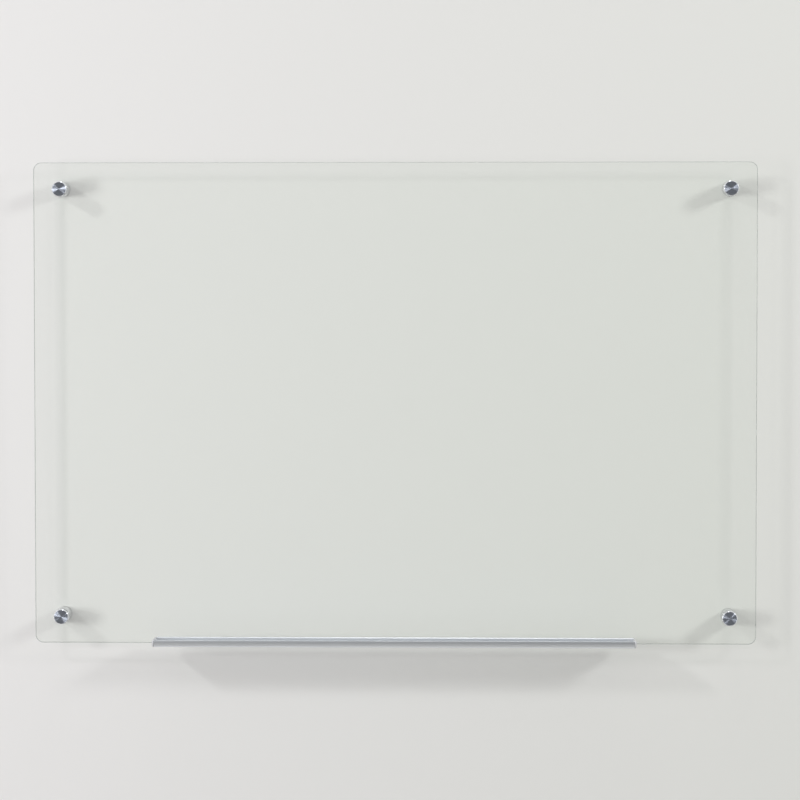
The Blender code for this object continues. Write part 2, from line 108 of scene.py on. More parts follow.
# Wall screw and plug
SCREW_PITCH = 0.0014
SCREW_CREST_RADIUS = 0.0021
SCREW_CORE_RADIUS = 0.00155
SCREW_VALLEY_SLOPE = 2.2
SCREW_POINT = 0.004
SCREW_HEAD_FLANK = 0.0009
RECESS_SPAN = 0.0044
RECESS_WIDTH = 0.0011
RECESS_DEPTH = 0.0018
RECESS_TAPER_SHARE = 0.45
PLUG_BODY_RADIUS = 0.003
PLUG_COLLAR = 0.0008
PLUG_PLAIN_LENGTH = 0.009
PLUG_BARB_PITCH = 0.004
PLUG_BARB_DEPTH = 0.0004
PLUG_BARBS = 4
PLUG_SLIT_WIDTH = 0.0008
PLUG_SLIT_LENGTH = 0.019
PLUG_ARC_STEPS = 3

# Glass. Where its normal's Y is below FACE_FACING, it is ground
GLASS_CORNER_RADIUS = 0.010
FACE_FACING = 0.99

# Tray section
TRAY_WALL = 0.0018
TRAY_LIP_HEIGHT = 0.008
TRAY_UNDERSIDE = 0.0012
TRAY_NOSE_RADIUS = 0.0072
TRAY_FLOOR_FILLET = 0.0015
TRAY_STEP_FILLET = 0.0007
TRAY_HEEL_RADIUS = 0.0013
FRONT_FLANGE_HEIGHT = 0.008
REAR_FLANGE_HEIGHT = 0.007
CHANNEL_CORNER = 0.0003
FULL_ROUND_SHARE = 0.49
FLANGE_BEVEL = 0.0012
FLANGE_BEVEL_CORNER = 0.0002
LINER_WALL = 0.0008
LINER_STEP_BACK = 0.001
LINER_CORNER = 0.0002
END_PLATE_CORNER = 0.002
END_PLATE_ROUND = 0.0014
END_PLATE_BACK_EDGE = 0.0002
SKIRT_LENGTH = 0.008
SKIRT_WALL = 0.0012
SKIRT_STEP_DOWN = 0.001
SKIRT_REAR_HEIGHT = 0.0035
SKIRT_TIP = 0.0003
TRAY_STATIONS = 13

# Finishes: the range that noise mostly keeps to, how clear the ground glass is, the width over which
# polish sets in and the share of the roughness that it takes away, and the casts of the platings
NOISE_RANGE = (0.3, 0.7)
GROUND_CLARITY = 0.45
POLISH_EDGE = 0.00005
POLISH_SHARE = 0.6
STUD_CAST = (0.70, 0.69, 0.64)
SCREW_CAST = (0.62, 0.64, 0.68)

# Stage. A fade is the stretch of a direction's Y over which the room gives way to the background
WALL_STAND_OFF = 0.0001
WALL_SIZE = (9.0, 6.5)
WALL_SHADED_TO = 0.5
FLOOR_HEIGHT = -3.0
FLOOR_SIZE = 10.0
FLOOR_CLOUD = 0.04
LIGHT_FADE = (-0.15, 0.35)
SHINE_FADE = (-0.6, -0.1)
SENSOR_WIDTH = 36

# Lamps, named for the side that they stand on as seen from the room: name, angle to the right of
# straight ahead as seen from above, angle upwards as seen from the side, distance, side of the square,
# and share of full light that it gives to the wall
LAMPS = (
    ("left", -49, 1.5, 3.6, 0.8, 0.174),
    ("near_left", -33, 5, 3.6, 0.6, 0.050),
    ("upper_left", -52, 38, 4.2, 0.4, 0.082),
    ("upper_right", 55, 34, 3.5, 0.6, 0.126),
    ("ceiling", 0, 80, 2.8, 0.6, 0.010),
)


def color_setting(name, description, default):
    return FloatVectorProperty(
        name=name, description=description, subtype="COLOR", size=3, min=0, max=1, default=default)


class GlassSettings(PropertyGroup):
    """Colours and edge of the glass panel."""

    face_tint: color_setting(
        "Face tint", "Colour that the faces give to what is seen through them", (0.972, 0.987, 0.970))
    edge_tint: color_setting(
        "Edge tint", "Colour of the ground edge, where the glass is seen end on", (0.77, 0.82, 0.79))
    shade: color_setting(
        "Face shade", "Share of the light that passes through the faces to the wall", (0.972, 0.984, 0.970))
    edge_shade: color_setting(
        "Edge shade", "Share of the light that passes through the ground edge", (0.45, 0.48, 0.46))
    arris: FloatProperty(
        name="Arris", description="Width of the ground bevel on every edge of the glass",
        unit="LENGTH", min=0.0001, max=0.002, default=0.0006)


class StandoffSettings(PropertyGroup):
    """Colours of the metal and plastic of the standoffs."""

    cap_color: color_setting(
        "Cap", "Colour of the spun metal of the caps", (0.50, 0.54, 0.62))
    # Lighter than the cap's own metal: a painted highlight on the polished chamfer
    rim_color: color_setting(
        "Cap rim", "Colour of the polished chamfer round the caps", (0.88, 0.90, 0.93))
    barrel_color: color_setting(
        "Barrel", "Colour of the polished metal of the barrels", (0.72, 0.73, 0.75))
    stud_color: color_setting(
        "Stud", "Colour of the plated threads", (0.68, 0.68, 0.67))
    # A darker grey than clear vinyl, to give the dark ring round each cap: partly painted shade of the gap
    # there
    washer_color_and_shade: color_setting(
        "Washer", "Colour of the clear soft washers", (0.60, 0.63, 0.63))
    bush_color: color_setting(
        "Bush", "Colour of the clear sleeves in the glass", (0.90, 0.90, 0.86))
    screw_color: color_setting(
        "Wall screw", "Colour of the zinc plating", (0.66, 0.67, 0.66))
    plug_color: color_setting(
        "Wall plug", "Colour of the moulded plugs", (0.46, 0.47, 0.48))


class TraySettings(PropertyGroup):
    """Colours of the pen tray."""

    metal_color: color_setting(
        "Extrusion", "Colour of the satin metal", (0.86, 0.89, 0.93))
    end_color: color_setting(
        "End caps", "Colour of the moulded end caps", (0.68, 0.69, 0.71))
    liner_color: color_setting(
        "Liner", "Colour of the soft liner in the channel", (0.60, 0.61, 0.62))


class StudioSettings(PropertyGroup):
    """Camera, backdrop and level of light."""

    camera_place: FloatVectorProperty(
        name="Camera place", description="Where the camera stands",
        subtype="TRANSLATION", unit="LENGTH", size=3, default=(0.1252, -4.0, 0.1698))
    camera_turn: FloatVectorProperty(
        name="Camera turn", description="Tilt, roll and turn of the camera",
        subtype="EULER", unit="ROTATION", size=3, default=tuple(np.radians((87.615, 0.028, 1.707))))
    lens: FloatProperty(
        name="Lens", description="Focal length on a sensor 36 mm wide",
        unit="CAMERA", min=1, default=143.67)
    # Painted shade: from wall_left to wall_right the wall darkens as the light falls off
    wall_left: color_setting(
        "Wall, left", "Colour of the left of the wall", (0.81, 0.80, 0.795))
    wall_right: color_setting(
        "Wall, right", "Colour of the right of the wall", (0.79, 0.795, 0.765))
    floor_color: color_setting(
        "Floor", "Colour of the floor in its light on the object and its reflection", (0.54, 0.53, 0.515))
    floor_seen: color_setting(
        "Floor, seen", "Colour of the floor where the camera sees it", (0.90, 0.89, 0.875))
    background: color_setting(
        "Background", "Colour seen past the wall and the floor", (0.88, 0.88, 0.88))
    room: FloatProperty(
        name="Room", description="Level of the soft light from the side of the room",
        min=0, max=1, default=0.52)
    room_reflected: FloatProperty(
        name="Room in the metal", description="Level of the room that shows in shiny surfaces",
        min=0, max=1, default=0.21)


def reach(node):
    """Distances of a node's nearer and farther end from the wall, towards the room."""
    low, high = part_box(node)
    return -high.y, -low.y


def radius_of(node):
    low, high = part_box(node)
    return (high.x - low.x) / 2


def stud_hole():
    """Radius of the holes that the studs pass through or sit in."""
    return radius_of("stud_top_left") + SEAT_GAP


def axis_of(corner):
    """Place (x, z) of a standoff's axis, the middle of its barrel."""
    low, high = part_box(f"barrel_{corner}")
    return (low.x + high.x) / 2, (low.z + high.z) / 2


def rounded(corners, steps=ARC_STEPS):
    """Outline through corners (a, b, radius), each an arc of that radius that touches both its sides.

    The arc's centre lies on the corner's bisector, radius / sin(half the corner's angle) away.
    """
    corners = np.array(corners, float)
    here, radius = corners[:, :2], corners[:, 2:]
    back = np.roll(here, 1, 0) - here
    ahead = np.roll(here, -1, 0) - here
    back /= np.linalg.norm(back, axis=1, keepdims=True)
    ahead /= np.linalg.norm(ahead, axis=1, keepdims=True)
    half = np.arccos(np.clip((back * ahead).sum(1, keepdims=True), -1, 1)) / 2
    bisector = back + ahead
    bisector /= np.maximum(np.linalg.norm(bisector, axis=1, keepdims=True), WELD)
    centre = here + bisector * radius / np.sin(half)
    start = here + back * radius / np.tan(half) - centre
    end = here + ahead * radius / np.tan(half) - centre
    turn = np.arctan2(start[:, 0] * end[:, 1] - start[:, 1] * end[:, 0], (start * end).sum(1))
    swing = turn[:, None] * np.linspace(0, 1, steps + 1)
    a = start[:, :1] * np.cos(swing) - start[:, 1:] * np.sin(swing)
    b = start[:, :1] * np.sin(swing) + start[:, 1:] * np.cos(swing)
    return (centre[:, None] + np.stack([a, b], -1)).reshape(-1, 2)


def rectangle(low, high, radii, inset=0.0):
    """Corners (a, b, radius) of an upright rectangle, drawn in by inset with its arcs kept concentric."""
    (left, bottom), (right, top) = low, high
    places = [(left, bottom), (right, bottom), (right, top), (left, top)]
    inward = [(1, 1), (-1, 1), (-1, -1), (1, -1)]
    return [
        (a + i * inset, b + j * inset, radius - inset)
        for (a, b), (i, j), radius in zip(places, inward, radii)
    ]


def surface(name, points, faces, uv):
    """Mesh of points and faces with a UV place for each face corner, welded and facing outwards."""
    mesh = bpy.data.meshes.new(name)
    mesh.from_pydata(points.reshape(-1, 3).tolist(), [], faces)
    mesh.uv_layers.new(name="surface").data.foreach_set("uv", uv.astype(np.float32).ravel())
    shape = bmesh.new()
    shape.from_mesh(mesh)
    bmesh.ops.remove_doubles(shape, verts=shape.verts, dist=WELD)
    if shape.calc_volume(signed=True) < 0:
        bmesh.ops.reverse_faces(shape, faces=shape.faces)
    shape.to_mesh(mesh)
    shape.free()
    return smooth(mesh)


def smooth(mesh):
    mesh.shade_smooth()
    mesh.set_sharp_from_angle(angle=SHARP)
    return mesh


def quads(rows, columns, wrap_rows):
    """Faces of a grid whose columns close on themselves, and the (column, row) of each face corner."""
    row, column = np.meshgrid(np.arange(rows - (not wrap_rows)), np.arange(columns), indexing="ij")
    corners = np.stack([
        np.stack([column, row], -1),
        np.stack([column + 1, row], -1),
        np.stack([column + 1, row + 1], -1),
        np.stack([column, row + 1], -1),
    ], -2).reshape(-1, 4, 2)
    faces = (corners[..., 1] % rows) * columns + corners[..., 0] % columns
    return faces.tolist(), corners


def along(points):
    """Distance of each point of a line from its start, with the way back to the start at the end."""
    steps = np.linalg.norm(np.roll(points, -1, 0) - points, axis=1)
    return np.concatenate([[0.0], np.cumsum(steps)])


def turned(name, profile, sides=TURNED_SIDES, closed=True, groove=None):
    """Surface of revolution about the Y axis.

    Place (u, v) = (r cos u, -out, r sin u) with (r, out) the profile's point v. groove(r, out, u) is
    taken from r. The profile is closed for a ring, and starts and ends on the axis for a solid.
    UV holds the share of a turn and the distance along the profile.
    """
    angle = np.linspace(0, TAU, sides, endpoint=False)[None]
    radius = np.repeat(profile[:, :1], sides, 1)
    out = np.repeat(profile[:, 1:], sides, 1)
    if groove is not None:
        radius = np.maximum(radius - groove(radius, out, angle), 0)
    points = np.stack([radius * np.cos(angle), -out, radius * np.sin(angle)], -1)
    faces, corners = quads(len(profile), sides, closed)
    uv = np.stack([corners[..., 0] / sides, along(profile)[corners[..., 1]]], -1)
    return surface(name, points, faces, uv)


def ring(kind):
    """Ring with rounded edges round the stud, as wide and as long as its kind's piece at the top left."""
    near, far = reach(f"{kind}_top_left")
    outer = radius_of(f"{kind}_top_left")
    section = rectangle((stud_hole(), near), (outer, far), [WASHER_EDGE] * 4)
    return turned(kind, rounded(section, SMALL_ARC_STEPS))


def lofted(name, outlines):
    """Solid through outlines of equally many points, closed by a flat face at each end.

    Place (u, v) = point u of outline v. UV holds the distance along the path and round the outline.
    """
    outlines = np.asarray(outlines)
    rows, count = outlines.shape[:2]
    faces, corners = quads(rows, count, False)
    path = along(outlines.mean(1))
    around = along(outlines[0])
    sides_uv = np.stack([path[corners[..., 1]], around[corners[..., 0]]], -1).reshape(-1, 2)
    ends = [list(range(count))[::-1], list(range((rows - 1) * count, rows * count))]
    ends_uv = np.stack([np.zeros(2 * count), np.concatenate([around[:-1][::-1], around[:-1]])], -1)
    return surface(name, outlines, faces + ends, np.concatenate([sides_uv, ends_uv]))


def along_x(section, places):
    """Outlines of a tray section at places along X, in the part's frame."""
    front, bottom = -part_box("glass_panel")[0].y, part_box("glass_panel")[0].z
    return [
        np.stack([np.full(len(section), x), -front - section[:, 0], bottom + section[:, 1]], -1)
        for x in places
    ]


def around_y(section, out):
    """Outline of (x, z) points at a distance from the wall."""
    return np.stack([section[:, 0], np.full(len(section), -out), section[:, 1]], -1)


def plus(span, width):
    """Outline of a plus sign of a span and a width of arm, centred on the axis."""
    s, w = span / 2, width / 2
    quarter = np.array([(s, -w), (s, w), (w, w)])
    turns = [np.array([(np.cos(a), -np.sin(a)), (np.sin(a), np.cos(a))]) for a in TAU / 4 * np.arange(4)]
    return np.concatenate([quarter @ turn.T for turn in turns])


def combined(mesh, tool, operation):
    """Mesh with the tool cut from it or joined to it."""
    body = bpy.data.objects.new(mesh.name, mesh)
    other = bpy.data.objects.new(tool.name, tool)
    for obj in (body, other):
        bpy.context.scene.collection.objects.link(obj)
    boolean = body.modifiers.new("combine", "BOOLEAN")
    boolean.operation = operation
    boolean.solver = "EXACT"
    boolean.object = other
    bpy.context.view_layer.update()
    made = bpy.data.meshes.new_from_object(body.evaluated_get(bpy.context.evaluated_depsgraph_get()))
    made.name = mesh.name
    for obj in (body, other):
        bpy.data.objects.remove(obj, do_unlink=True)
    return smooth(made)


def helix(out, angle, pitch):
    """Depth of a right-hand thread's V, from 0 on its flat crest to 1 in its flat root."""
    phase = (out / pitch - angle / TAU) % 1
    flank = (1 - np.abs(2 * phase - 1) - THREAD_CREST_SHARE) / (1 - 2 * THREAD_CREST_SHARE)
    return np.clip(flank, 0, 1)


def fade(out, start, end, length):
    """Level that rises from 0 to 1 over a length at each end of a stretch, and is 0 outside it."""
    return np.clip(np.minimum(out - start, end - out) / length, 0, 1)


def add_piece(node, mesh, material):
    """Puts a finished mesh in the place of a node, on the same body and material slot."""
    name = f"finished_{node}"
    if name in bpy.data.objects:
        raise RuntimeError(f"{name} is already built")
    mesh.materials.clear()
    mesh.materials.append(material)
    piece = bpy.data.objects.new(name, mesh)
    bpy.context.scene.collection.objects.link(piece)
    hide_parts(node)
    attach(piece, BODY_OF[node])
    return piece


def add_at_corners(kind, mesh, material):
    """Puts one mesh, made round the Y axis, on the axis of each standoff."""
    for corner in CORNERS:
        x, z = axis_of(corner)
        placed = mesh.copy()
        placed.transform(Matrix.Translation((x, 0, z)))
        add_piece(f"{kind}_{corner}", placed, material)


def put(tree, kind, inputs=(), **settings):
    """New node with its settings and its inputs, each a value or a socket to link."""
    node = tree.nodes.new(kind)
    for name, value in settings.items():
        setattr(node, name, value)
    for name, value in dict(inputs).items():
        if isinstance(value, bpy.types.NodeSocket):
            tree.links.new(value, node.inputs[name])
        else:
            node.inputs[name].default_value = value
    return node


def new_finish(name, **constants):
    """Material with constants set on its shader's own sockets, and its node tree and shader."""
    material = bpy.data.materials.new(name)
    material.use_nodes = True
    shader = material.node_tree.nodes["Principled BSDF"]
    for socket, value in constants.items():
        shader.inputs[socket.replace("_", " ")].default_value = value
    return material, material.node_tree, shader


def place_of(tree, stretch=(1, 1, 1)):
    """Object coordinates, scaled along each axis."""
    place = put(tree, "ShaderNodeTexCoord").outputs["Object"]
    return put(tree, "ShaderNodeMapping", {"Vector": place, "Scale": stretch}).outputs["Vector"]


def noise(tree, vector, scale, detail=3.0, roughness=0.55):
    inputs = {"Vector": vector, "Scale": scale, "Detail": detail, "Roughness": roughness}
    return put(tree, "ShaderNodeTexNoise", inputs).outputs["Fac"]


def remap(tree, value, low, high, new_low, new_high):
    inputs = {"Value": value, "From Min": low, "From Max": high, "To Min": new_low, "To Max": new_high}
    return put(tree, "ShaderNodeMapRange", inputs).outputs["Result"]


def spread(tree, value, new_low, new_high):
    """Noise carried from its usual range to a new one."""
    return remap(tree, value, *NOISE_RANGE, new_low, new_high)


def calc(tree, operation, first, second=0.0):
    return put(tree, "ShaderNodeMath", {0: first, 1: second}, operation=operation).outputs["Value"]


def mix_color(tree, factor, first, second):
    """Mix of two colours. The node's colour sockets have no names of their own, so it takes numbers."""
    inputs = {"Factor": factor, 6: first, 7: second}
    return put(tree, "ShaderNodeMix", inputs, data_type="RGBA").outputs[2]


def bump(tree, height, distance, strength=1.0, normal=None):
    inputs = {"Height": height, "Distance": distance, "Strength": strength}
    if normal is not None:
        inputs["Normal"] = normal
    return put(tree, "ShaderNodeBump", inputs).outputs["Normal"]


def rgba(color, share=1.0):
    return (*(channel * share for channel in color), 1)


def feed(tree, shader, **values):
    """Links values to the sockets of a shader, which have spaces in their names for underscores."""
    for socket, value in values.items():
        tree.links.new(value, shader.inputs[socket.replace("_", " ")])


def show_mix(tree, factor, first, second):
    """Sends a mix of two shaders to the material's output."""
    both = put(tree, "ShaderNodeMixShader", {0: factor, 1: first.outputs[0], 2: second.outputs[0]})
    tree.links.new(both.outputs[0], tree.nodes["Material Output"].inputs["Surface"])


def on_surface(tree):
    """The two numbers of a surface's own UV map: round or along it, and across it in metres."""
    uv = put(tree, "ShaderNodeUVMap", uv_map="surface").outputs["UV"]
    split = put(tree, "ShaderNodeSeparateXYZ", {"Vector": uv})
    return split.outputs["X"], split.outputs["Y"]


def tool_marks(tree, across, per_metre):
    """Fine lines left by a tool that runs along the surface's first direction."""
    inputs = {"W": calc(tree, "MULTIPLY", across, per_metre), "Scale": 1.0, "Detail": 4.0}
    return put(tree, "ShaderNodeTexNoise", inputs, noise_dimensions="1D").outputs["Fac"]


def float_glass(settings):
    """Clear faces, and ground edges marked by the attribute ground, which are greener and half matt."""
    material, tree, shader = new_finish("clear_float_glass", IOR=1.52)
    ground = put(tree, "ShaderNodeAttribute", attribute_name="ground").outputs["Fac"]
    grain = noise(tree, place_of(tree), scale=2500.0)
    feed(tree, shader,
         Base_Color=mix_color(tree, ground, rgba(settings.face_tint), rgba(settings.edge_tint)),
         Roughness=calc(tree, "MULTIPLY", ground, spread(tree, grain, 0.10, 0.24)),
         Transmission_Weight=remap(tree, ground, 0.0, 1.0, 1.0, GROUND_CLARITY))
    shade = mix_color(tree, ground, rgba(settings.shade), rgba(settings.edge_shade))
    passing = put(tree, "ShaderNodeBsdfTransparent", {"Color": shade})
    show_mix(tree, put(tree, "ShaderNodeLightPath").outputs["Is Shadow Ray"], shader, passing)
    return material


def turned_metal(name, color, marks_per_metre, mark_depth, dull, anisotropy=0.6, polish=None):
    """Metal turned on a lathe: fine rings, which stretch highlights across themselves.

    polish is the distance along the profile from which the metal is polished, and its colour there, a
    lighter colour that is a painted highlight.
    """
    material, tree, shader = new_finish(
        name, Metallic=1.0, Anisotropic=anisotropy, Anisotropic_Rotation=0.25)
    _, across = on_surface(tree)
    rings = tool_marks(tree, across, marks_per_metre)
    speck = noise(tree, place_of(tree), scale=900.0)
    tone = mix_color(tree, rings, rgba(color, 0.90), rgba(color, 1.06))
    rough = spread(tree, rings, dull * 0.85, dull * 1.15)
    if polish is not None:
        start, bright = polish
        # Polish makes the rim less rough; its lighter colour there is a painted highlight
        polished = remap(tree, across, start, start + POLISH_EDGE, 0.0, 1.0)
        tone = mix_color(tree, polished, tone, rgba(bright))
        smoothing = calc(tree, "MULTIPLY", polished, -POLISH_SHARE)
        rough = calc(tree, "MULTIPLY", rough, calc(tree, "ADD", smoothing, 1.0))
    tangent = put(tree, "ShaderNodeTangent", direction_type="UV_MAP", uv_map="surface")
    feed(tree, shader,
         Base_Color=tone,
         Roughness=calc(tree, "ADD", rough, calc(tree, "MULTIPLY", speck, 0.03)),
         Normal=bump(tree, rings, mark_depth),
         Tangent=tangent.outputs["Tangent"])
    return material


def plated_steel(name, color, cast):
    """Plated steel: a soft shine with a faint coloured cast in patches and small pits."""
    material, tree, shader = new_finish(name, Metallic=1.0)
    place = place_of(tree)
    patches = noise(tree, place, scale=220.0, detail=4.0)
    pits = noise(tree, place, scale=4200.0)
    feed(tree, shader,
         Base_Color=mix_color(tree, patches, rgba(color, 0.94), rgba(cast)),
         Roughness=spread(tree, patches, 0.26, 0.42),
         Normal=bump(tree, pits, distance=0.00001))
    return material


def clear_plastic(name, color, transmission, dull):
    """Clear soft plastic with a slightly uneven moulded skin."""
    material, tree, shader = new_finish(name, Transmission_Weight=transmission, IOR=1.50)
    ripple = noise(tree, place_of(tree), scale=700.0)
    feed(tree, shader,
         Base_Color=mix_color(tree, ripple, rgba(color, 0.96), rgba(color)),
         Roughness=spread(tree, ripple, dull * 0.7, dull * 1.3),
         Normal=bump(tree, ripple, distance=0.00003))
    return material


def moulded_plastic(name, color, grain_scale, grain_depth, dull):
    """Opaque moulded plastic with a fine spark-eroded grain and a slight flow pattern."""
    material, tree, shader = new_finish(name, IOR=1.5)
    place = place_of(tree)
    flow = noise(tree, place, scale=60.0, detail=2.0)
    grain = noise(tree, place, grain_scale)
    feed(tree, shader,
         Base_Color=mix_color(tree, flow, rgba(color, 0.94), rgba(color, 1.05)),
         Roughness=spread(tree, grain, dull - 0.06, dull + 0.08),
         Normal=bump(tree, grain, grain_depth))
    return material


def satin_metal(settings):
    """Satin anodised extrusion: faint die lines along its length under an etched grain."""
    material, tree, shader = new_finish("satin_anodised", Metallic=1.0)
    _, across = on_surface(tree)
    lines = tool_marks(tree, across, per_metre=9000.0)
    drift = noise(tree, place_of(tree, stretch=(1.5, 40.0, 40.0)), scale=4.0, detail=2.0)
    grain = noise(tree, place_of(tree), scale=5200.0, detail=2.0)
    color = settings.metal_color
    tone = mix_color(tree, lines, rgba(color, 0.95), rgba(color, 1.04))
    rough = calc(tree, "ADD", spread(tree, lines, 0.37, 0.43), calc(tree, "MULTIPLY", grain, 0.04))
    etched = bump(tree, grain, distance=0.000002)
    feed(tree, shader,
         Base_Color=mix_color(tree, spread(tree, drift, 0.0, 0.3), tone, rgba(color, 0.97)),
         Roughness=rough,
         Normal=bump(tree, lines, distance=0.000003, normal=etched))
    return material


class BOARD_OT_glass_panel(Operator):
    """Build the glass panel, with ground edges and a drilled hole for each standoff"""

    bl_idname = "board.glass_panel"
    bl_label = "Glass panel"

    def execute(self, context):
        settings = context.scene.board_glass
        low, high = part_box("glass_panel")
        near, far = reach("glass_panel")
        radii = [GLASS_CORNER_RADIUS] * 4
        levels = [(near, settings.arris), (near + settings.arris, 0), (far - settings.arris, 0)]
        levels.append((far, settings.arris))
        outlines = [
            around_y(rounded(rectangle((low.x, low.z), (high.x, high.z), radii, inset)), out)
            for out, inset in levels
        ]
        mesh = lofted("glass_panel", outlines)
        hole = radius_of("bush_top_left") + SEAT_GAP
        flare = hole + 2 * settings.arris
        spool = np.array([
            (0, far + settings.arris),
            (flare, far + settings.arris),
            (hole, far - settings.arris),
            (hole, near + settings.arris),
            (flare, near - settings.arris),
            (0, near - settings.arris),
        ])
        for corner in CORNERS:
            x, z = axis_of(corner)
            drill = turned("drill", spool, closed=False)
            drill.transform(Matrix.Translation((x, 0, z)))
            mesh = combined(mesh, drill, "DIFFERENCE")
        normals = np.zeros(len(mesh.polygons) * 3, np.float32)
        mesh.polygons.foreach_get("normal", normals)
        ground = (np.abs(normals.reshape(-1, 3)[:, 1]) < FACE_FACING).astype(np.float32)
        mesh.attributes.new("ground", "FLOAT", "FACE").data.foreach_set("value", ground)
        panel = add_piece("glass_panel", mesh, float_glass(settings))
        # Its shadow already lets the light through, which must not reach the wall twice
        panel.visible_diffuse = False
        # The lamps don't mirror in it as white squares
        unlit = not_lit()
        unlit.objects.link(panel)
        unlit.collection_objects[0].light_linking.link_state = "EXCLUDE"
        return {"FINISHED"}


class BOARD_OT_barrels(Operator):
    """Build the four standoff barrels, turned cups with a tapped bore and a relieved seat"""

    bl_idname = "board.barrels"
    bl_label = "Standoff barrels"

    def execute(self, context):
        radius = radius_of("barrel_top_left")
        seat, mouth = reach("barrel_top_left")
        bore = stud_hole()
        outside = rounded([
            (bore + BORE_MOUTH_CHAMFER, mouth, SMALL_EDGE),
            (radius, mouth, BARREL_EDGE),
            (radius, seat, BARREL_EDGE),
            (SEAT_RELIEF_RADIUS, seat, SMALL_EDGE),
            (SEAT_RELIEF_RADIUS, seat + SEAT_RELIEF_DEPTH, SMALL_EDGE),
            (SCREW_HOLE_RADIUS, seat + SEAT_RELIEF_DEPTH, SMALL_EDGE),
            (SCREW_HOLE_RADIUS, seat + BARREL_BASE, SMALL_EDGE),
            (bore, seat + BARREL_BASE, SMALL_EDGE),
            (bore, mouth - BORE_MOUTH_CHAMFER, 0),
        ], SMALL_ARC_STEPS)
        thread_start, thread_end = seat + BARREL_BASE + STUD_PITCH, mouth - BORE_MOUTH_CHAMFER
        turns = (thread_end - thread_start) / STUD_PITCH
        rows = np.linspace(thread_start, thread_end, round(turns * THREAD_ROWS_PER_TURN))[:-1]
        bore_rows = np.stack([np.full(len(rows), bore), rows], -1)
        profile = np.concatenate([outside[:-5], bore_rows, outside[-1:]])

        def groove(r, out, angle):
            inside = (r < bore + WELD) & (r > bore - WELD)
            level = fade(out, thread_start, thread_end, STUD_PITCH)
            return inside * level * BORE_THREAD_DEPTH * (1 - helix(out, angle, STUD_PITCH))

        mesh = turned("barrel", profile, THREAD_SIDES, groove=groove)
        color = context.scene.board_standoffs.barrel_color
        finish = turned_metal(
            "polished_turned_steel", color, marks_per_metre=14000.0, mark_depth=0.0000015, dull=0.13)
        add_at_corners("barrel", mesh, finish)
        return {"FINISHED"}


class BOARD_OT_caps(Operator):
    """Build the four screw caps, with spun faces and a polished chamfer that has a painted highlight"""

    bl_idname = "board.caps"
    bl_label = "Screw caps"

    def execute(self, context):
        radius = radius_of("cap_top_left")
        back, front = reach("cap_top_left")
        bore = stud_hole()
        blind = back + STUD_IN_CAP + SEAT_GAP
        face = radius - CAP_RIM_CHAMFER
        profile = rounded([
            (0, front - CAP_CENTRE_DEPTH, 0),
            (CAP_CENTRE_MARK, front, SMALL_EDGE),
            (face, front, SMALL_EDGE),
            (radius, front - CAP_RIM_CHAMFER, SMALL_EDGE),
            (radius, back, CAP_BACK_EDGE),
            (bore, back, SMALL_EDGE),
            (bore, blind, SMALL_EDGE),
            (0, blind, 0),
        ], SMALL_ARC_STEPS)
        mesh = turned("cap", profile, closed=False)
        settings = context.scene.board_standoffs
        finish = turned_metal(
            "spun_steel", settings.cap_color, marks_per_metre=9000.0, mark_depth=0.000004, dull=0.40,
            anisotropy=1.0, polish=(face, settings.rim_color))
        add_at_corners("cap", mesh, finish)
        return {"FINISHED"}


class BOARD_OT_studs(Operator):
    """Build the four studs, with a right-hand thread and a hexagon socket in the rear end"""

    bl_idname = "board.studs"
    bl_label = "Threaded studs"

    def execute(self, context):
        crest = radius_of("stud_top_left")
        start, end = reach("stud_top_left")
        floor = start + SOCKET_DEPTH
        flat = SOCKET_ACROSS_FLATS / 2
        shank = np.linspace(start + STUD_END_CHAMFER, end - STUD_IN_CAP,
                            round((end - start) / STUD_PITCH * THREAD_ROWS_PER_TURN))
        neck = crest - STUD_END_CHAMFER
        profile = np.concatenate([
            [(0, end), (neck, end), (crest, end - STUD_END_CHAMFER)],
            np.stack([np.full(len(shank), crest), shank[::-1]], -1),
            [(neck, start), (flat, start), (flat, floor), (0, floor)],
        ])

        def groove(r, out, angle):
            level = fade(out, start - STUD_PITCH, end - STUD_IN_CAP, STUD_PITCH)
            cut = (r > neck) * level * STUD_THREAD_DEPTH * helix(out, angle, STUD_PITCH)
            corner = 1 / np.cos((angle + TAU / 12) % (TAU / 6) - TAU / 12)
            return np.where(np.isclose(r, flat), r - flat * corner, cut)

        mesh = turned("stud", profile, THREAD_SIDES, closed=False, groove=groove)
        color = context.scene.board_standoffs.stud_color
        add_at_corners("stud", mesh, plated_steel("plated_thread", color, STUD_CAST))
        return {"FINISHED"}


class BOARD_OT_washers(Operator):
    """Build the eight clear washers, in front of and behind the glass"""

    bl_idname = "board.washers"
    bl_label = "Clear washers"

    def execute(self, context):
        color = context.scene.board_standoffs.washer_color_and_shade
        # The washers' darker grey is partly painted shade, for the dark ring round each cap
        finish = clear_plastic("clear_vinyl", color, transmission=0.75, dull=0.2)
        for kind in ("front_washer", "rear_washer"):
            add_at_corners(kind, ring(kind), finish)
        return {"FINISHED"}


class BOARD_OT_bushes(Operator):
    """Build the four clear sleeves that line the holes in the glass"""

    bl_idname = "board.bushes"
    bl_label = "Bushes"

    def execute(self, context):
        color = context.scene.board_standoffs.bush_color
        finish = clear_plastic("clear_nylon", color, transmission=0.6, dull=0.35)
        add_at_corners("bush", ring("bush"), finish)
        return {"FINISHED"}


